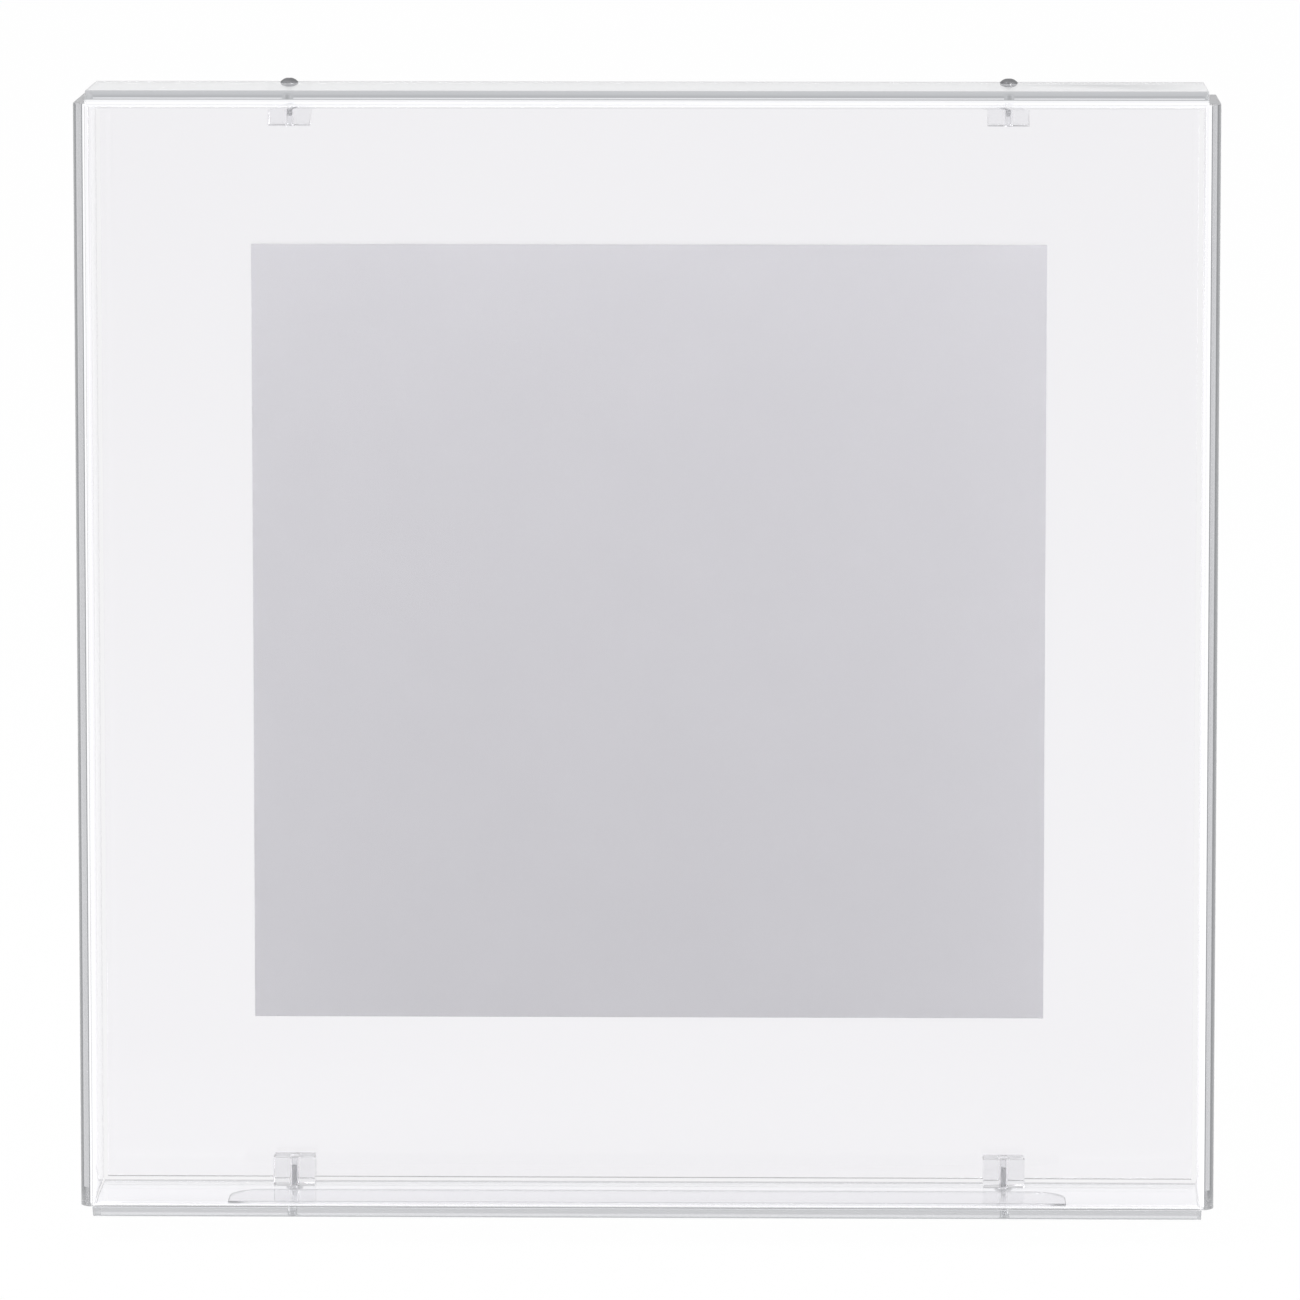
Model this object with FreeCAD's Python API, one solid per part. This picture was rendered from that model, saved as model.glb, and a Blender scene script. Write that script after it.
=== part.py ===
import FreeCAD, Part
import os
from FreeCAD import Vector

# Clear wall-hung box frame for one picture. Millimetres, +X right, +Z up, +Y into the wall.
# The origin is the centre of the back panel's rear face, so the wall is the plane Y = 0.

# Bent front cover
cover_width = 500.0
cover_height = 498.0
cover_depth = 69.7
wall_gap = 0.3
sheet_thickness = 5.0
bend_inner_radius = 3.0
corner_notch = 5.5

# Clear strip cemented along the bottom flange, behind the front sheet
strip_width = 370.0
strip_depth = 29.0
strip_thickness = 2.5
strip_corner_radius = 15.0
strip_heel = 2.0

# Back panel with its wall holes
panel_thickness = 4.0
panel_clearance = 2.0
wall_hole_radius = 2.5
wall_hole_spacing_x = 300.0
wall_hole_spacing_z = 300.0

# Picture card on four mounting tabs
card_width = 352.0
card_height = 346.0
card_thickness = 1.5
card_rise = 5.0
tab_side = 30.0
tab_thickness = 4.0
tab_card_margin = 50.0

# Clip blocks cemented to the panel, one behind each screw
block_width = 18.6
block_depth = 13.0
block_height = 13.0
block_flange_gap = 0.3
block_edge = 0.4
screw_from_side = 91.5

# Button head screws
screw_radius = 2.0
screw_length = 14.0
screw_tip_chamfer = 0.4
screw_head_radius = 3.9
screw_head_height = 2.2
screw_head_rim = 0.4
screw_socket_flats = 2.5
screw_socket_depth = 1.3
screw_seat_gap = 0.05
thread_clearance = 0.05
screw_slot_clearance = 0.2

# One overrun for every cut
overrun = 1.0

half_width = cover_width / 2
half_height = cover_height / 2
cover_rear_y = -wall_gap
cover_front_y = cover_rear_y - cover_depth
bend_outer_radius = bend_inner_radius + sheet_thickness
panel_front_y = -panel_thickness
panel_half_width = half_width - sheet_thickness - panel_clearance
panel_half_height = half_height - sheet_thickness - panel_clearance
block_outer_z = half_height - sheet_thickness - block_flange_gap
screw_x = half_width - screw_from_side
screw_y = panel_front_y - block_depth / 2

UP = Vector(0, 0, 1)
REARWARD = Vector(0, 1, 0)
SIDES = (("left", -1), ("right", 1))
ENDS = (("top", 1), ("bottom", -1))


def box(low, high):
    size = high - low
    return Part.makeBox(size.x, size.y, size.z, low)


def channel_outline(half_span, place):
    """The bent sheet's section: front sheet, two bends and two flanges. place(across, y) gives a point."""
    flat = half_span - bend_outer_radius
    outer_turn = bend_outer_radius * (1 - 0.5 ** 0.5)
    inner_turn = sheet_thickness + bend_inner_radius * (1 - 0.5 ** 0.5)
    bend_y = cover_front_y + bend_outer_radius

    def bend(sign, face, turn):
        end = place(sign * (half_span - face), bend_y)
        middle = place(sign * (half_span - turn), cover_front_y + turn)
        start = place(sign * flat, cover_front_y + face)
        return start, middle, end

    edges = []
    corners = []
    for face, turn in ((0, outer_turn), (sheet_thickness, inner_turn)):
        low_start, low_middle, low_end = bend(-1, face, turn)
        high_start, high_middle, high_end = bend(1, face, turn)
        low_rear = place(-(half_span - face), cover_rear_y)
        high_rear = place(half_span - face, cover_rear_y)
        edges.append(Part.makeLine(low_rear, low_end))
        edges.append(Part.Arc(low_end, low_middle, low_start).toShape())
        edges.append(Part.makeLine(low_start, high_start))
        edges.append(Part.Arc(high_start, high_middle, high_end).toShape())
        edges.append(Part.makeLine(high_end, high_rear))
        corners.append((low_rear, high_rear))
    for outer, inner in zip(corners[0], corners[1]):
        edges.append(Part.makeLine(outer, inner))
    return Part.Face(Part.Wire(Part.__sortEdges__(edges)))


def bent_channels():
    """Two bent channels crossing at the front sheet leave the four corners open."""
    reach_x = half_width - corner_notch
    reach_z = half_height - corner_notch
    upright = channel_outline(half_height, lambda across, y: Vector(-reach_x, y, across))
    level = channel_outline(half_width, lambda across, y: Vector(across, y, -reach_z))
    top_and_bottom = upright.extrude(Vector(reach_x * 2, 0, 0))
    left_and_right = level.extrude(Vector(0, 0, reach_z * 2))
    return top_and_bottom.fuse(left_and_right).removeSplitter()


def base_strip():
    """A thin clear strip on the bottom flange, its heel cut away over the bend, its rear corners round."""
    half = strip_width / 2
    front_y = cover_front_y + bend_outer_radius - strip_heel
    low_z = -half_height + sheet_thickness
    strip = box(Vector(-half, front_y, low_z), Vector(half, front_y + strip_depth, low_z + strip_thickness))
    heel = [edge for edge in strip.Edges if edge.BoundBox.ZMax < low_z + strip_heel / 2
            and edge.BoundBox.YMax < front_y + strip_heel / 2]
    strip = strip.makeChamfer(strip_heel, heel)
    corners = [edge for edge in strip.Edges if edge.BoundBox.ZLength > strip_thickness / 2
               and edge.BoundBox.YMin > front_y + strip_heel]
    return strip.makeFillet(strip_corner_radius, corners)


def screw_slot(x, end):
    """A slot open at the flange's rear edge, in which a screw's shank stands."""
    radius = screw_radius + screw_slot_clearance
    inner_z = end * (half_height - sheet_thickness - overrun)
    outer_z = end * (half_height + overrun)
    low_z, high_z = min(inner_z, outer_z), max(inner_z, outer_z)
    seat = Part.makeCylinder(radius, high_z - low_z, Vector(x, screw_y, low_z), UP)
    run = box(Vector(x - radius, screw_y, low_z), Vector(x + radius, cover_rear_y + overrun, high_z))
    return seat.fuse(run)


def front_cover():
    cover = bent_channels()
    cuts = []
    for side_name, side in SIDES:
        for end_name, end in ENDS:
            cuts.append(screw_slot(side * screw_x, end))
    return cover.cut(cuts).removeSplitter()


def back_panel():
    low = Vector(-panel_half_width, panel_front_y, -panel_half_height)
    high = Vector(panel_half_width, 0, panel_half_height)
    holes = []
    for side_name, side in SIDES:
        for end_name, end in ENDS:
            x = side * wall_hole_spacing_x / 2
            z = end * wall_hole_spacing_z / 2
            start = Vector(x, panel_front_y - overrun, z)
            holes.append(Part.makeCylinder(wall_hole_radius, panel_thickness + overrun * 2, start, REARWARD))
    return box(low, high).cut(holes)


def picture_card():
    rear_y = panel_front_y - tab_thickness
    low = Vector(-card_width / 2, rear_y - card_thickness, card_rise - card_height / 2)
    high = Vector(card_width / 2, rear_y, card_rise + card_height / 2)
    return box(low, high)


def mounting_tab(side, end):
    inset = tab_card_margin + tab_side / 2
    centre = Vector(side * (card_width / 2 - inset), 0, card_rise + end * (card_height / 2 - inset))
    reach = Vector(tab_side / 2, 0, tab_side / 2)
    low = centre - reach + Vector(0, panel_front_y - tab_thickness, 0)
    high = centre + reach + Vector(0, panel_front_y, 0)
    return box(low, high)


def clip_block(side, end):
    """A small clear block with a tapped hole right through it, from the flange inwards."""
    x = side * screw_x
    outer_z = end * block_outer_z
    inner_z = end * (block_outer_z - block_height)
    low_z, high_z = min(inner_z, outer_z), max(inner_z, outer_z)
    low = Vector(x - block_width / 2, panel_front_y - block_depth, low_z)
    high = Vector(x + block_width / 2, panel_front_y, high_z)
    block = box(low, high)
    front_edges = [
        edge for edge in block.Edges if max(v.Point.y for v in edge.Vertexes) < screw_y
    ]
    block = block.makeChamfer(block_edge, front_edges)
    hole_start = Vector(x, screw_y, low_z - overrun)
    hole = Part.makeCylinder(screw_radius + thread_clearance, block_height + overrun * 2, hole_start, UP)
    return block.cut(hole)


def button_screw():
    """A screw standing on Z = 0 with its domed head up; the shank hangs below."""
    shank = Part.makeCylinder(screw_radius, screw_length, Vector(0, 0, -screw_length), UP)
    tip = [edge for edge in shank.Edges if edge.BoundBox.ZMax < -screw_length / 2]
    shank = shank.makeChamfer(screw_tip_chamfer, tip)
    dome_height = screw_head_height - screw_head_rim
    dome_radius = (screw_head_radius ** 2 + dome_height ** 2) / (dome_height * 2)
    dome = Part.makeSphere(dome_radius, Vector(0, 0, screw_head_height - dome_radius))
    head = Part.makeCylinder(screw_head_radius, screw_head_height, Vector(0, 0, 0), UP).common(dome)
    screw = head.fuse(shank).removeSplitter()
    corner_radius = screw_socket_flats / 3 ** 0.5
    corners = []
    for step in range(7):
        turn = FreeCAD.Rotation(UP, step * 60)
        corners.append(turn.multVec(Vector(corner_radius, 0, screw_head_height - screw_socket_depth)))
    socket = Part.Face(Part.makePolygon(corners)).extrude(UP * (screw_socket_depth + overrun))
    return screw.cut(socket)


def clip_screw(side, end):
    screw = button_screw()
    if end < 0:
        screw.rotate(Vector(0, 0, 0), Vector(1, 0, 0), 180)
    screw.translate(Vector(side * screw_x, screw_y, end * (half_height + screw_seat_gap)))
    return screw


def all_nodes():
    nodes = {"front_cover": front_cover(), "base_strip": base_strip()}
    nodes.update({"back_panel": back_panel(), "picture_card": picture_card()})
    for end_name, end in ENDS:
        for side_name, side in SIDES:
            place = end_name + "_" + side_name
            nodes["mounting_tab_" + place] = mounting_tab(side, end)
            nodes["clip_block_" + place] = clip_block(side, end)
            nodes["clip_screw_" + place] = clip_screw(side, end)
    return nodes


os.makedirs("parts", exist_ok=True)
for name, shape in all_nodes().items():
    solids = shape.Solids
    if len(solids) == 1:
        shape = solids[0]
    shape.exportStep("parts/" + name + ".step")
    print(name, len(solids), "solid", round(shape.Volume), shape.isValid())
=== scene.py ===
import math

import bpy
from mathutils import Matrix, Vector


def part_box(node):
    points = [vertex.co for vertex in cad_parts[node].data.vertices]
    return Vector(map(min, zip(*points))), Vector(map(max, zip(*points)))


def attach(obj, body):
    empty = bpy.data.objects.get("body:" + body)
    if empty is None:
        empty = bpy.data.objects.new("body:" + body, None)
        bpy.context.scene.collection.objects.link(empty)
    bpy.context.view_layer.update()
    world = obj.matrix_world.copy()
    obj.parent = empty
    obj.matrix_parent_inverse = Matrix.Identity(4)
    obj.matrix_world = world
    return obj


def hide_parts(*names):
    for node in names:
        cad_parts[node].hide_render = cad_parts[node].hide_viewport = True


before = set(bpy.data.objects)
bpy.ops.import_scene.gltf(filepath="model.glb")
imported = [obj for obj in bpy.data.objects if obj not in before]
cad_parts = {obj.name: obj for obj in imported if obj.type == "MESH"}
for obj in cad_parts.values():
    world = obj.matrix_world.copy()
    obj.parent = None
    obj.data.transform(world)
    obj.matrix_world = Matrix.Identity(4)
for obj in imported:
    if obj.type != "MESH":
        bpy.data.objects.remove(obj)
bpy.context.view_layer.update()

SIDES = ("left", "right")
ENDS = ("top", "bottom")

# Sheet, strip and card sizes in metres
SHEET = 0.005
BEND_RADIUS = 0.008
NOTCH = 0.0055
EDGE_EASE = 0.0003
STRIP_HEEL = 0.002
STRIP_CORNER_RADIUS = 0.015
STRIP_EASE = 0.0002
STRIP_JOINT = 0.00002
CARD_EASE = 0.00015
TAB_CORNER_RADIUS = 0.003
TAB_JOINT = 0.00003
BLOCK_EASE = 0.0004
WALL_HOLE_RADIUS = 0.0025
WALL_HOLE_SPACING = 0.3
CUT_LENGTH = SHEET * 3

# Screw sizes in metres
SCREW_RADIUS = 0.002
SCREW_SLOT_RADIUS = 0.0022
TAPPED_RADIUS = 0.00205
SCREW_LENGTH = 0.014
THREAD_PITCH = 0.0007
THREAD_DEPTH = 0.0004
THREAD_START_SHARE = 0.75
THREAD_RING_SHARE = 0.9
HEAD_HEIGHT = 0.0022
HEAD_RIM = 0.0004
HEAD_EASE = 0.00012
SOCKET_RADIUS = 0.00145
SOCKET_DEPTH = 0.0013

# How finely round forms are made
BEND_STEPS = 24
STRIP_CORNER_STEPS = 24
TAB_CORNER_STEPS = 4
EASE_STEPS = 2
ROUND_PROFILE = 0.5
SLOT_SIDES = 48
HOLE_SIDES = 32
SHANK_SIDES = 32
HEAD_SIDES = 64
BALL_STEPS = 96
SOCKET_SIDES = 6

# Tests on places, turns and edges
NEAR = 1e-5
WELD = 1e-6
EASED_ANGLE = 50
FLAT_SMOOTHING = 30
ROUND_SMOOTHING = 35
FRONT_FACE_TURN = 0.98
FLAT_FACE_TURN = 0.9
FACING_TURN = 0.7
EDGE_FACE_TURN = 0.3

# Colours, in linear light
CLEAR = (0.985, 0.981, 0.993, 1)
# The blocks' grey tint is partly painted shade: it is set darker to stand in for the shading on their sides
BLOCK_SHADED_TINT = (0.87, 0.87, 0.88, 1)
# Colour of the painted glow in the clear pieces
GATHERED_LIGHT = (0.95, 0.97, 1.0, 1)
# Dark grey on the cover's rear rim is painted shade, not the acrylic's own colour
RIM_PAINTED_SHADE = (0.25, 0.25, 0.26, 1)
EDGE_TINT = (0.9, 0.9, 0.91, 1)
CARD_LIGHT = (0.82, 0.815, 0.845, 1)
CARD_DARK = (0.79, 0.785, 0.815, 1)
CORE_LIGHT = (0.95, 0.95, 0.94, 1)
CORE_DARK = (0.86, 0.86, 0.85, 1)
FOAM_LIGHT = (0.9, 0.9, 0.89, 1)
FOAM_DARK = (0.78, 0.78, 0.77, 1)
# Head steel is dark and thread steel near white: partly a two-tone finish, partly painted light, since the
# thread is brightened to stand in for the light the clear block keeps from it
HEAD_LIGHT = (0.32, 0.32, 0.33, 1)
HEAD_DARK = (0.22, 0.22, 0.23, 1)
SHANK_LIGHT = (0.97, 0.97, 0.98, 1)
SHANK_DARK = (0.88, 0.88, 0.89, 1)
FLOOR_COLOUR = (0.86, 0.86, 0.86, 1)
WHITE = (1, 1, 1, 1)

# Painted glow: emission that stands in for light kept inside the clear pieces
FLANGE_GLOW = 0.08
SIDE_GLOW = 0.045
SAWN_GLOW = 0.05
STRIP_GLOW = 0.03
BLOCK_GLOW = 0.02

# Grain of the finishes: sizes in metres, the rest shares
ACRYLIC_BEND = 1.49
SHEET_HAZE = 0.02
BLOCK_HAZE = 0.15
POLISH_MARK = 0.004
POLISH_STRETCH = (1, 1, 6)
HAZE_CLOUD = 0.09
FINE_DETAIL = 4.0
MIDDLE_DETAIL = 3.0
COARSE_DETAIL = 2.0
CLOUD_DETAIL = 1.0
SAW_RIPPLE = 0.0007
SAWN_ROUGHNESS = 0.35
SAWN_VARIATION = 0.2
SAW_BUMP = 0.25
CARD_FIBRE = 0.0006
CARD_CLOUD = 0.05
CARD_CLOUD_SHARE = 0.6
CARD_FIBRE_SHARE = 0.4
CARD_ROUGHNESS = 0.75
CARD_VARIATION = 0.2
CARD_SHEEN = 0.3
CARD_BUMP = 0.3
CORE_FIBRE = 0.0003
MATT = 0.9
GRAIN_DEPTH = 0.0001
TURNED_MARK = 0.0002
TURNED_STRETCH = (1, 1, 8)
TURNED_BUMP = 0.2
TURNED_DEPTH = 0.00005
STEEL_STAIN = 0.002
STEEL_ROUGHNESS = 0.45
STEEL_VARIATION = 0.2
FOAM_CELL = 0.0004
FOAM_BUMP = 0.6
FOAM_DEPTH = 0.0002

# Floor and light
FLOOR_Z = -0.262
FLOOR_SIDE = 40.0
FLOOR_WHITE_SHARE = 0.985
FLOOR_THROUGH_SHARE = 0.95
FLOOR_THROUGH_LEVEL = 0.92
FLOOR_SHADED_SHARE = 0.3
FLOOR_SHADE_MIDDLE = -0.2
FLOOR_SHADE_RANGE = (0.16, 0.24)
RAY_SWITCH = 0.5
WORLD_LEVEL = 0.72
SOFTBOXES = (
    ("key_softbox", (-1.6, -2.2, 2.4), 1.6, 72.0),
    ("fill_softbox", (2.2, -1.8, 1.2), 1.8, 42.0),
)

# The camera stands in front of the cover, above its middle
IMAGE_PIXELS = 1300
FOCAL_PIXELS = 9516.0
SENSOR_WIDTH = 36.0
NEAREST_SEEN = 0.1
FARTHEST_SEEN = 100
CAMERA_OFFSET = (0.0824, -4.13, 0.5257)
CAMERA_YAW = -1.12
CAMERA_PITCH = 7.188
CAMERA_ROLL = -0.008


def place_box(node):
    low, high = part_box(node)
    return Vector(low), Vector(high)


# Shader maths

class Wire:
    """A socket that takes part in sums, so a finish reads as an expression."""

    def __init__(self, finish, socket):
        self.finish = finish
        self.socket = socket

    def _sum(self, kind, first, second):
        return self.finish.node("ShaderNodeMath", {"operation": kind}, {0: first, 1: second})

    def __add__(self, other):
        return self._sum("ADD", self, other)

    __radd__ = __add__

    def __sub__(self, other):
        return self._sum("SUBTRACT", self, other)

    def __rsub__(self, other):
        return self._sum("SUBTRACT", other, self)

    def __mul__(self, other):
        return self._sum("MULTIPLY", self, other)

    __rmul__ = __mul__

    def __gt__(self, other):
        return self._sum("GREATER_THAN", self, other)

    def __abs__(self):
        return self.finish.node("ShaderNodeMath", {"operation": "ABSOLUTE"}, {0: self})


class Finish:
    """One material, its nodes and its shader."""

    def __init__(self, name):
        self.material = bpy.data.materials.new(name)
        self.material.use_nodes = True
        self.tree = self.material.node_tree
        self.shader = self.tree.nodes["Principled BSDF"]
        self.place = self.node("ShaderNodeTexCoord", {}, {}, "Object")

    def node(self, kind, settings, values, output=0):
        made = self.tree.nodes.new(kind)
        for name, value in settings.items():
            setattr(made, name, value)
        for name, value in values.items():
            self.feed(made.inputs[name], value)
        return Wire(self, made.outputs[output])

    def feed(self, socket, value):
        if isinstance(value, Wire):
            self.tree.links.new(value.socket, socket)
        else:
            socket.default_value = value

    def set(self, **values):
        for name, value in values.items():
            self.feed(self.shader.inputs[name.replace("_", " ")], value)
        return self

    def noise(self, size, detail=COARSE_DETAIL, stretch=(1, 1, 1)):
        scaled = self.node("ShaderNodeMapping", {}, {"Vector": self.place, "Scale": stretch})
        values = {"Vector": scaled, "Scale": 1 / size, "Detail": detail}
        return self.node("ShaderNodeTexNoise", {}, values, "Fac")

    def bump(self, height, strength, distance):
        values = {"Height": height, "Strength": strength, "Distance": distance}
        return self.node("ShaderNodeBump", {}, values)

    def blend(self, factor, first, second):
        settings = {"data_type": "RGBA"}
        return self.node("ShaderNodeMix", settings, {0: factor, 6: first, 7: second}, 2)


def clear_acrylic(name, tint, haze, glow=0.0):
    """Clear cast sheet: faint surface haze and fine polishing marks. A painted glow, an emission, stands in
    for light kept inside.
    """
    finish = Finish(name)
    marks = finish.noise(POLISH_MARK, FINE_DETAIL, POLISH_STRETCH)
    cloud = finish.noise(HAZE_CLOUD, CLOUD_DETAIL)
    finish.set(Base_Color=tint, Roughness=(marks * cloud) * haze)
    finish.set(IOR=ACRYLIC_BEND, Transmission_Weight=1.0)
    finish.set(Emission_Color=GATHERED_LIGHT, Emission_Strength=glow)
    return finish.material


def sawn_edge(name, tint, glow):
    """The sheet's cut edges, with the saw's fine ripple left in, and a painted glow (emission) where one is
    given.
    """
    finish = Finish(name)
    ripple = finish.noise(SAW_RIPPLE)
    finish.set(Base_Color=tint, Roughness=SAWN_ROUGHNESS + ripple * SAWN_VARIATION)
    finish.set(IOR=ACRYLIC_BEND, Transmission_Weight=1.0)
    finish.set(Normal=finish.bump(ripple, SAW_BUMP, GRAIN_DEPTH))
    finish.set(Emission_Color=GATHERED_LIGHT, Emission_Strength=glow)
    return finish.material


def card_finish():
    """Pale grey mount card with a soft fibre tooth."""
    finish = Finish("grey_mount_card")
    fibre = finish.noise(CARD_FIBRE, MIDDLE_DETAIL)
    cloud = finish.noise(CARD_CLOUD)
    mottle = cloud * CARD_CLOUD_SHARE + fibre * CARD_FIBRE_SHARE
    finish.set(Base_Color=finish.blend(mottle, CARD_DARK, CARD_LIGHT))
    finish.set(Roughness=CARD_ROUGHNESS + fibre * CARD_VARIATION, Specular_IOR_Level=CARD_SHEEN)
    finish.set(Normal=finish.bump(fibre, CARD_BUMP, GRAIN_DEPTH))
    return finish.material


def card_edge_finish():
    finish = Finish("white_card_core")
    fibre = finish.noise(CORE_FIBRE, MIDDLE_DETAIL)
    finish.set(Base_Color=finish.blend(fibre, CORE_DARK, CORE_LIGHT), Roughness=MATT)
    return finish.material


def steel_finish(name, dark, light):
    """Plain steel with turned marks and slight staining."""
    finish = Finish(name)
    turned = finish.noise(TURNED_MARK, COARSE_DETAIL, TURNED_STRETCH)
    stain = finish.noise(STEEL_STAIN)
    finish.set(Base_Color=finish.blend(stain, dark, light), Metallic=1.0)
    finish.set(Roughness=STEEL_ROUGHNESS + turned * STEEL_VARIATION)
    finish.set(Normal=finish.bump(turned, TURNED_BUMP, TURNED_DEPTH))
    return finish.material


def foam_finish():
    """White closed-cell foam tab."""
    finish = Finish("white_foam_tab")
    values = {"Vector": finish.place, "Scale": 1 / FOAM_CELL}
    cells = finish.node("ShaderNodeTexVoronoi", {}, values, "Distance")
    finish.set(Base_Color=finish.blend(cells, FOAM_DARK, FOAM_LIGHT), Roughness=MATT)
    finish.set(Normal=finish.bump(cells, FOAM_BUMP, FOAM_DEPTH))
    return finish.material


# Hand modelling helpers

def start():
    if bpy.context.object and bpy.context.object.mode != "OBJECT":
        bpy.ops.object.mode_set(mode="OBJECT")
    bpy.ops.object.select_all(action="DESELECT")


def held(piece, name):
    piece.name = name
    piece.data.name = name
    return piece


def plane(name, size_x, size_y, centre):
    start()
    bpy.ops.mesh.primitive_plane_add(size=1, location=centre)
    piece = held(bpy.context.object, name)
    piece.scale = (size_x, size_y, 1)
    settle(piece)
    return piece


def block(name, low, high):
    start()
    bpy.ops.mesh.primitive_cube_add(size=1, location=(low + high) / 2)
    piece = held(bpy.context.object, name)
    piece.scale = high - low
    settle(piece)
    return piece


def rod(name, radius, length, centre, sides=SLOT_SIDES, axis="Z"):
    start()
    turn = {"Z": (0, 0, 0), "Y": (math.pi / 2, 0, 0)}[axis]
    bpy.ops.mesh.primitive_cylinder_add(
        vertices=sides, radius=radius, depth=length, location=centre, rotation=turn
    )
    piece = held(bpy.context.object, name)
    settle(piece)
    return piece


def settle(piece):
    """Puts the piece's place, turn and size into its mesh."""
    only(piece)
    bpy.ops.object.transform_apply(location=True, rotation=True, scale=True)


def only(piece):
    start()
    piece.select_set(True)
    bpy.context.view_layer.objects.active = piece


def pick(piece, kind, wanted):
    """Selects the vertices, edges or faces whose centre passes the test, and stays in edit mode."""
    only(piece)
    bpy.ops.object.mode_set(mode="EDIT")
    bpy.ops.mesh.select_mode(type=kind)
    bpy.ops.mesh.select_all(action="DESELECT")
    bpy.ops.object.mode_set(mode="OBJECT")
    mesh = piece.data
    for item in {"VERT": mesh.vertices, "EDGE": mesh.edges, "FACE": mesh.polygons}[kind]:
        if kind == "VERT":
            ends = [item.co]
        else:
            ends = [mesh.vertices[v].co for v in item.vertices]
        item.select = bool(wanted(ends))
    bpy.ops.object.mode_set(mode="EDIT")


def finish_with(piece, kind, **settings):
    only(piece)
    made = piece.modifiers.new(kind.title(), kind)
    for name, value in settings.items():
        setattr(made, name, value)
    bpy.ops.object.modifier_apply(modifier=made.name)


def cut_away(piece, tools):
    for tool in tools:
        finish_with(piece, "BOOLEAN", operation="DIFFERENCE", object=tool, solver="EXACT")
        bpy.data.objects.remove(tool)


def join_on(piece, other):
    finish_with(piece, "BOOLEAN", operation="UNION", object=other, solver="EXACT")
    bpy.data.objects.remove(other)


def clean(piece, angle=FLAT_SMOOTHING):
    only(piece)
    bpy.ops.object.mode_set(mode="EDIT")
    bpy.ops.mesh.select_all(action="SELECT")
    bpy.ops.mesh.remove_doubles(threshold=WELD)
    bpy.ops.mesh.normals_make_consistent(inside=False)
    bpy.ops.object.mode_set(mode="OBJECT")
    bpy.ops.object.shade_smooth_by_angle(angle=math.radians(angle))


def ease_edges(piece, width=EDGE_EASE):
    settings = {"limit_method": "ANGLE", "angle_limit": math.radians(EASED_ANGLE)}
    finish_with(piece, "BEVEL", width=width, segments=EASE_STEPS, **settings)


def dress(piece, node, body, slot, *materials):
    piece.data.materials.clear()
    for material in materials:
        piece.data.materials.append(material)
    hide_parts(node)
    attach(piece, body)


def frost(piece, wanted, index=1):
    """Gives the faces that pass the test another material, the second one unless told."""
    for face in piece.data.polygons:
        if wanted(face.center, face.normal):
            face.material_index = index


# Front cover

cover_low, cover_high = place_box("front_cover")
half_width = cover_high.x
half_height = cover_high.z
front_y = cover_low.y
rear_y = cover_high.y


def bent_channel(name, upright):
    """A flat strip with both long edges folded back, the folds rounded, then given its thickness."""
    span = half_height if upright else half_width
    reach = (half_width if upright else half_height) - NOTCH
    size = (reach * 2, span * 2) if upright else (span * 2, reach * 2)
    piece = plane(name, size[0], size[1], (0, 0, 0))
    only(piece)
    bpy.ops.object.mode_set(mode="EDIT")
    bpy.ops.mesh.select_all(action="SELECT")
    bpy.ops.transform.rotate(
        value=-math.pi / 2, orient_axis="X", center_override=(0, 0, 0), orient_type="GLOBAL"
    )
    bpy.ops.transform.translate(value=(0, front_y, 0))
    bpy.ops.object.mode_set(mode="OBJECT")
    across = 2 if upright else 0
    pick(piece, "EDGE", lambda ends: all(abs(abs(p[across]) - span) < NEAR for p in ends)
         and ends[0][across] * ends[1][across] > 0)
    bpy.ops.mesh.extrude_edges_move(TRANSFORM_OT_translate={"value": (0, rear_y - front_y, 0)})
    bpy.ops.object.mode_set(mode="OBJECT")
    pick(piece, "EDGE", lambda ends: all(
        abs(abs(p[across]) - span) < NEAR and abs(p.y - front_y) < NEAR for p in ends)
         and ends[0][across] * ends[1][across] > 0)
    bpy.ops.mesh.bevel(offset=BEND_RADIUS, segments=BEND_STEPS, profile=ROUND_PROFILE, affect="EDGES")
    bpy.ops.mesh.select_all(action="SELECT")
    bpy.ops.mesh.normals_make_consistent(inside=False)
    bpy.ops.object.mode_set(mode="OBJECT")
    centre_face = max(piece.data.polygons, key=lambda face: face.area)
    inward = -1.0 if centre_face.normal.y < 0 else 1.0
    finish_with(piece, "SOLIDIFY", thickness=SHEET, offset=inward, use_even_offset=True)
    clean(piece)
    return piece


def screw_slot_tool(end, side):
    low, high = place_box(f"clip_screw_{end}_{side}")
    x, y = (low.x + high.x) / 2, (low.y + high.y) / 2
    z = half_height if end == "top" else -half_height
    tool = rod("screw_slot_tool", SCREW_SLOT_RADIUS, CUT_LENGTH, (x, y, z))
    run_low = Vector((x - SCREW_SLOT_RADIUS, y, z - CUT_LENGTH / 2))
    run_high = Vector((x + SCREW_SLOT_RADIUS, rear_y + SHEET, z + CUT_LENGTH / 2))
    join_on(tool, block("screw_slot_run", run_low, run_high))
    return tool


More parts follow.
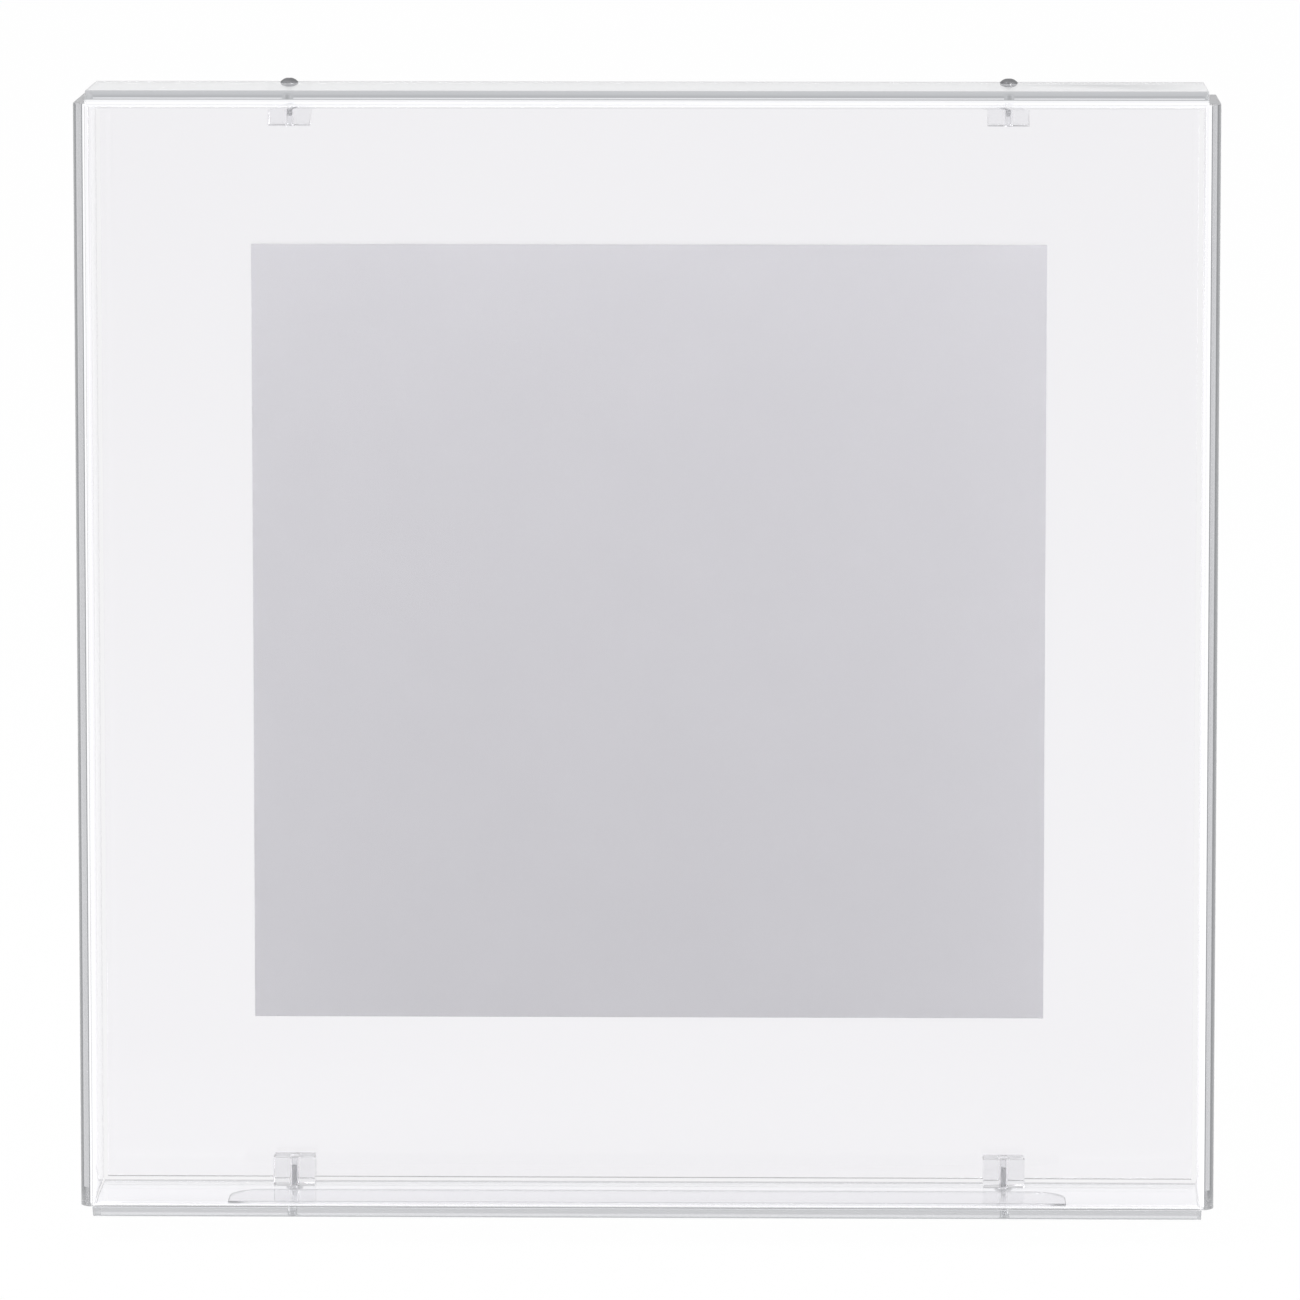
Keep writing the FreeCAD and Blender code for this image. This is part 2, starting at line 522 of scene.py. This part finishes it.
def front_cover():
    cover = bent_channel("front_cover_sheet", True)
    join_on(cover, bent_channel("side_channel", False))
    tools = [screw_slot_tool(end, side) for end in ENDS for side in SIDES]
    cut_away(cover, tools)
    clean(cover)
    ease_edges(cover)
    clean(cover, ROUND_SMOOTHING)
    skins = [COVER_CLEAR, COVER_RIM, FLANGE_CLEAR, SIDE_CLEAR, SAWN]
    dress(cover, "front_cover", "cover", "cover_acrylic", *skins)
    frost(cover, on_flange, skins.index(FLANGE_CLEAR))
    frost(cover, on_side_flange, skins.index(SIDE_CLEAR))
    frost(cover, on_rear_rim, skins.index(COVER_RIM))
    frost(cover, on_notch_face, skins.index(SAWN))


def on_flange(centre, normal):
    return abs(normal.y) < FRONT_FACE_TURN


def on_side_flange(centre, normal):
    return on_flange(centre, normal) and abs(normal.x) > abs(normal.z)


def on_rear_rim(centre, normal):
    return normal.y > FACING_TURN and centre.y > rear_y - SHEET / 2


def on_notch_face(centre, normal):
    """The faces at the flanges' ends, beside the open corners."""
    on_level_flange = abs(centre.z) > half_height - SHEET and abs(normal.x) > FACING_TURN
    on_upright_flange = abs(centre.x) > half_width - SHEET and abs(normal.z) > FACING_TURN
    at_end = abs(centre.x) > half_width - NOTCH - SHEET and abs(centre.z) > half_height - NOTCH - SHEET
    return at_end and (on_level_flange or on_upright_flange)


def base_strip():
    """The clear strip on the bottom flange, its heel cut away over the bend and its rear corners round."""
    low, high = place_box("base_strip")
    low.z += STRIP_JOINT
    strip = block("base_strip_sheet", low, high)
    pick(strip, "EDGE", lambda ends: all(abs(p.z - low.z) < NEAR and abs(p.y - low.y) < NEAR for p in ends))
    bpy.ops.mesh.bevel(offset=STRIP_HEEL, segments=1, affect="EDGES")
    bpy.ops.object.mode_set(mode="OBJECT")
    pick(strip, "EDGE", lambda ends: abs(ends[0].z - ends[1].z) > NEAR
         and all(abs(p.y - high.y) < NEAR for p in ends))
    bpy.ops.mesh.bevel(
        offset=STRIP_CORNER_RADIUS, segments=STRIP_CORNER_STEPS, profile=ROUND_PROFILE, affect="EDGES"
    )
    bpy.ops.object.mode_set(mode="OBJECT")
    clean(strip)
    ease_edges(strip, STRIP_EASE)
    clean(strip)
    dress(strip, "base_strip", "cover", "cover_acrylic", STRIP_CLEAR, SAWN)
    frost(strip, lambda centre, normal: abs(normal.z) < EDGE_FACE_TURN)


# Back panel

def back_panel():
    low, high = place_box("back_panel")
    panel = block("back_panel_sheet", low, high)
    tools = []
    for x in (-1, 1):
        for z in (-1, 1):
            centre = (x * WALL_HOLE_SPACING / 2, (low.y + high.y) / 2, z * WALL_HOLE_SPACING / 2)
            tools.append(rod("wall_hole_tool", WALL_HOLE_RADIUS, CUT_LENGTH, centre, HOLE_SIDES, "Y"))
    cut_away(panel, tools)
    clean(panel)
    ease_edges(panel)
    clean(panel)
    dress(panel, "back_panel", "wall_panel", "panel_acrylic", PANEL_CLEAR, SAWN)
    frost(panel, lambda centre, normal: abs(normal.y) < EDGE_FACE_TURN)


# Picture card and its tabs

def picture_card():
    low, high = place_box("picture_card")
    card = block("picture_card_board", low, high)
    ease_edges(card, CARD_EASE)
    clean(card)
    dress(card, "picture_card", "wall_panel", "grey_card", CARD, CARD_CORE)
    frost(card, lambda centre, normal: abs(normal.y) <= FLAT_FACE_TURN)


def mounting_tab(place):
    low, high = place_box("mounting_tab_" + place)
    low.y += TAB_JOINT
    high.y -= TAB_JOINT
    tab = block("foam_tab_" + place, low, high)
    pick(tab, "EDGE", lambda ends: abs(ends[0].y - ends[1].y) > TAB_CORNER_RADIUS)
    bpy.ops.mesh.bevel(offset=TAB_CORNER_RADIUS, segments=TAB_CORNER_STEPS, affect="EDGES")
    bpy.ops.object.mode_set(mode="OBJECT")
    clean(tab)
    dress(tab, "mounting_tab_" + place, "wall_panel", "foam_tab", FOAM)


# Clip blocks and screws

def clip_block(place):
    low, high = place_box("clip_block_" + place)
    piece = block("clip_block_cast_" + place, low, high)
    centre = (low + high) / 2
    cut_away(piece, [rod("tap_tool", TAPPED_RADIUS, (high.z - low.z) * 2, centre, HOLE_SIDES)])
    clean(piece)
    ease_edges(piece, BLOCK_EASE)
    clean(piece)
    dress(piece, "clip_block_" + place, "wall_panel", "block_acrylic", BLOCK_CLEAR)


def button_head(name, low, high):
    """The domed head: a rod kept only inside a ball, and a six-sided socket sunk in its cap."""
    radius = (high.x - low.x) / 2
    cap = HEAD_HEIGHT - HEAD_RIM
    ball_radius = (radius ** 2 + cap ** 2) / (cap * 2)
    head = rod(name, radius, HEAD_HEIGHT, (0, 0, HEAD_HEIGHT / 2), HEAD_SIDES)
    start()
    centre = (0, 0, HEAD_HEIGHT - ball_radius)
    bpy.ops.mesh.primitive_uv_sphere_add(
        segments=BALL_STEPS, ring_count=BALL_STEPS, radius=ball_radius, location=centre
    )
    ball = held(bpy.context.object, "head_ball")
    settle(ball)
    finish_with(head, "BOOLEAN", operation="INTERSECT", object=ball, solver="EXACT")
    bpy.data.objects.remove(ball)
    top = (0, 0, HEAD_HEIGHT)
    socket = rod("socket_tool", SOCKET_RADIUS, SOCKET_DEPTH * 2, top, SOCKET_SIDES)
    cut_away(head, [socket])
    return head


def clip_screw(place):
    node = "clip_screw_" + place
    low, high = place_box(node)
    flip = place.startswith("bottom")
    piece = button_head("button_screw_" + place, low, high)
    ease_edges(piece, HEAD_EASE)
    core_radius = SCREW_RADIUS - THREAD_DEPTH / 2
    shank = rod("shank", core_radius, SCREW_LENGTH, (0, 0, -SCREW_LENGTH / 2), SHANK_SIDES)
    rings = int(SCREW_LENGTH / THREAD_PITCH) - 1
    parts = [piece, shank]
    for ring in range(rings):
        z = -SCREW_LENGTH + THREAD_PITCH * (ring + THREAD_START_SHARE)
        parts.append(thread_ring(z))
    start()
    for part in parts:
        part.select_set(True)
    bpy.context.view_layer.objects.active = piece
    bpy.ops.object.join()
    turn = Matrix.Rotation(math.pi, 4, "X") if flip else Matrix.Identity(4)
    seat_z = low.z + SCREW_LENGTH if not flip else high.z - SCREW_LENGTH
    shift = Matrix.Translation(((low.x + high.x) / 2, (low.y + high.y) / 2, seat_z))
    piece.data.transform(shift @ turn)
    clean(piece, ROUND_SMOOTHING)
    dress(piece, node, node, "screw_steel", SCREW_HEAD, SCREW_THREAD_BRIGHTENED)
    under_head = high.z - SCREW_LENGTH if flip else low.z + SCREW_LENGTH
    frost(piece, lambda centre, normal: (centre.z > under_head) == flip)


def thread_ring(z):
    """One thread crest: a thin disc drawn out to an edge all round."""
    root_radius = SCREW_RADIUS - THREAD_DEPTH
    ring = rod("thread_ring", root_radius, THREAD_PITCH * THREAD_RING_SHARE, (0, 0, z), SHANK_SIDES)
    pick(ring, "FACE", lambda ends: max(p.z for p in ends) - min(p.z for p in ends) > THREAD_PITCH / 2)
    bpy.ops.mesh.subdivide(number_cuts=1)
    bpy.ops.object.mode_set(mode="OBJECT")
    pick(ring, "VERT", lambda ends: abs(ends[0].z - z) < THREAD_PITCH / 8
         and math.hypot(ends[0].x, ends[0].y) > SCREW_RADIUS / 2)
    spread = SCREW_RADIUS / root_radius
    bpy.ops.transform.resize(value=(spread, spread, 1), center_override=(0, 0, z))
    bpy.ops.object.mode_set(mode="OBJECT")
    return ring


# Materials given a glow carry painted light: an emission standing in for light kept inside the acrylic
COVER_CLEAR = clear_acrylic("clear_cover_sheet", CLEAR, SHEET_HAZE)
FLANGE_CLEAR = clear_acrylic("clear_bent_flange", CLEAR, SHEET_HAZE, FLANGE_GLOW)
SIDE_CLEAR = clear_acrylic("clear_side_flange", CLEAR, SHEET_HAZE, SIDE_GLOW)
PANEL_CLEAR = clear_acrylic("clear_panel_sheet", CLEAR, SHEET_HAZE)
STRIP_CLEAR = clear_acrylic("clear_base_strip", CLEAR, SHEET_HAZE, STRIP_GLOW)
# Blocks: grey tint darkened as painted shade, with a painted glow
BLOCK_CLEAR = clear_acrylic("clear_block", BLOCK_SHADED_TINT, BLOCK_HAZE, BLOCK_GLOW)
# The cover's rear rim gets a dark painted shade and no glow
COVER_RIM = sawn_edge("sawn_cover_rim_painted_shade", RIM_PAINTED_SHADE, 0.0)
SAWN = sawn_edge("sawn_panel_edge", EDGE_TINT, SAWN_GLOW)
CARD = card_finish()
CARD_CORE = card_edge_finish()
# The thread's near-white steel is partly painted light, brightened for the light the clear block keeps from
# it
SCREW_HEAD = steel_finish("steel_screw_head", HEAD_DARK, HEAD_LIGHT)
SCREW_THREAD_BRIGHTENED = steel_finish("steel_screw_thread_brightened", SHANK_DARK, SHANK_LIGHT)
FOAM = foam_finish()

front_cover()
base_strip()
back_panel()
picture_card()
for end in ENDS:
    for side in SIDES:
        place = end + "_" + side
        mounting_tab(place)
        clip_block(place)
        clip_screw(place)


# Floor, light and camera

def pale_floor():
    start()
    bpy.ops.mesh.primitive_plane_add(size=FLOOR_SIDE, location=(0, 0, FLOOR_Z))
    floor = held(bpy.context.object, "studio_floor")
    finish = Finish("studio_floor_white")
    finish.set(Base_Color=FLOOR_COLOUR, Roughness=MATT)
    ray = finish.node("ShaderNodeLightPath", {}, {}, "Is Camera Ray")
    path = ray.socket.node
    bent = Wire(finish, path.outputs["Is Glossy Ray"]) + Wire(finish, path.outputs["Is Transmission Ray"])
    depth = finish.node("ShaderNodeSeparateXYZ", {}, {"Vector": finish.place}, "Y")
    aside = abs(depth - FLOOR_SHADE_MIDDLE)
    near, far = FLOOR_SHADE_RANGE
    ends = {"From Min": near, "From Max": far, "To Min": FLOOR_SHADED_SHARE, "To Max": FLOOR_THROUGH_SHARE}
    through = finish.node("ShaderNodeMapRange", {}, {"Value": aside, **ends})
    share = (bent > RAY_SWITCH) * through
    glow = finish.node("ShaderNodeEmission", {}, {"Color": WHITE, "Strength": 1.0})
    plain = Wire(finish, finish.shader.outputs[0])
    dim = finish.node("ShaderNodeEmission", {}, {"Color": WHITE, "Strength": FLOOR_THROUGH_LEVEL})
    mixed = finish.node("ShaderNodeMixShader", {}, {0: share, 1: plain, 2: dim})
    mixed = finish.node("ShaderNodeMixShader", {}, {0: ray * FLOOR_WHITE_SHARE, 1: mixed, 2: glow})
    finish.feed(finish.tree.nodes["Material Output"].inputs["Surface"], mixed)
    floor.data.materials.append(finish.material)


def studio_light():
    world = bpy.data.worlds.new("studio")
    bpy.context.scene.world = world
    world.use_nodes = True
    tree = world.node_tree
    sky = tree.nodes["Background"]
    sky.inputs["Color"].default_value = WHITE
    path = tree.nodes.new("ShaderNodeLightPath")
    level = tree.nodes.new("ShaderNodeMapRange")
    level.inputs["To Min"].default_value = WORLD_LEVEL
    tree.links.new(path.outputs["Is Camera Ray"], level.inputs["Value"])
    tree.links.new(level.outputs["Result"], sky.inputs["Strength"])
    for name, place, size, power in SOFTBOXES:
        lamp = bpy.data.lights.new(name, "AREA")
        lamp.size = size
        lamp.energy = power
        holder = bpy.data.objects.new(name, lamp)
        bpy.context.scene.collection.objects.link(holder)
        holder.location = place
        holder.rotation_mode = "QUATERNION"
        holder.rotation_quaternion = Vector(place).to_track_quat("Z", "Y")


def place_camera():
    data = bpy.data.cameras.new("front_camera")
    data.sensor_width = SENSOR_WIDTH
    data.lens = FOCAL_PIXELS / IMAGE_PIXELS * SENSOR_WIDTH
    data.clip_start = NEAREST_SEEN
    data.clip_end = FARTHEST_SEEN
    camera = bpy.data.objects.new("front_camera", data)
    bpy.context.scene.collection.objects.link(camera)
    yaw = Matrix.Rotation(math.radians(CAMERA_YAW), 3, "Z")
    pitch = Matrix.Rotation(math.radians(CAMERA_PITCH), 3, "X")
    roll = Matrix.Rotation(math.radians(CAMERA_ROLL), 3, "Y")
    world_to_camera = roll @ pitch @ yaw
    right, forward, up = world_to_camera.row[0], world_to_camera.row[1], world_to_camera.row[2]
    turn = Matrix((right, up, -Vector(forward))).transposed()
    camera.matrix_world = Matrix.Translation(Vector(CAMERA_OFFSET) + Vector((0, front_y, 0))) @ turn.to_4x4()
    bpy.context.scene.camera = camera


pale_floor()
studio_light()
place_camera()
bpy.context.scene.view_settings.view_transform = "Standard"
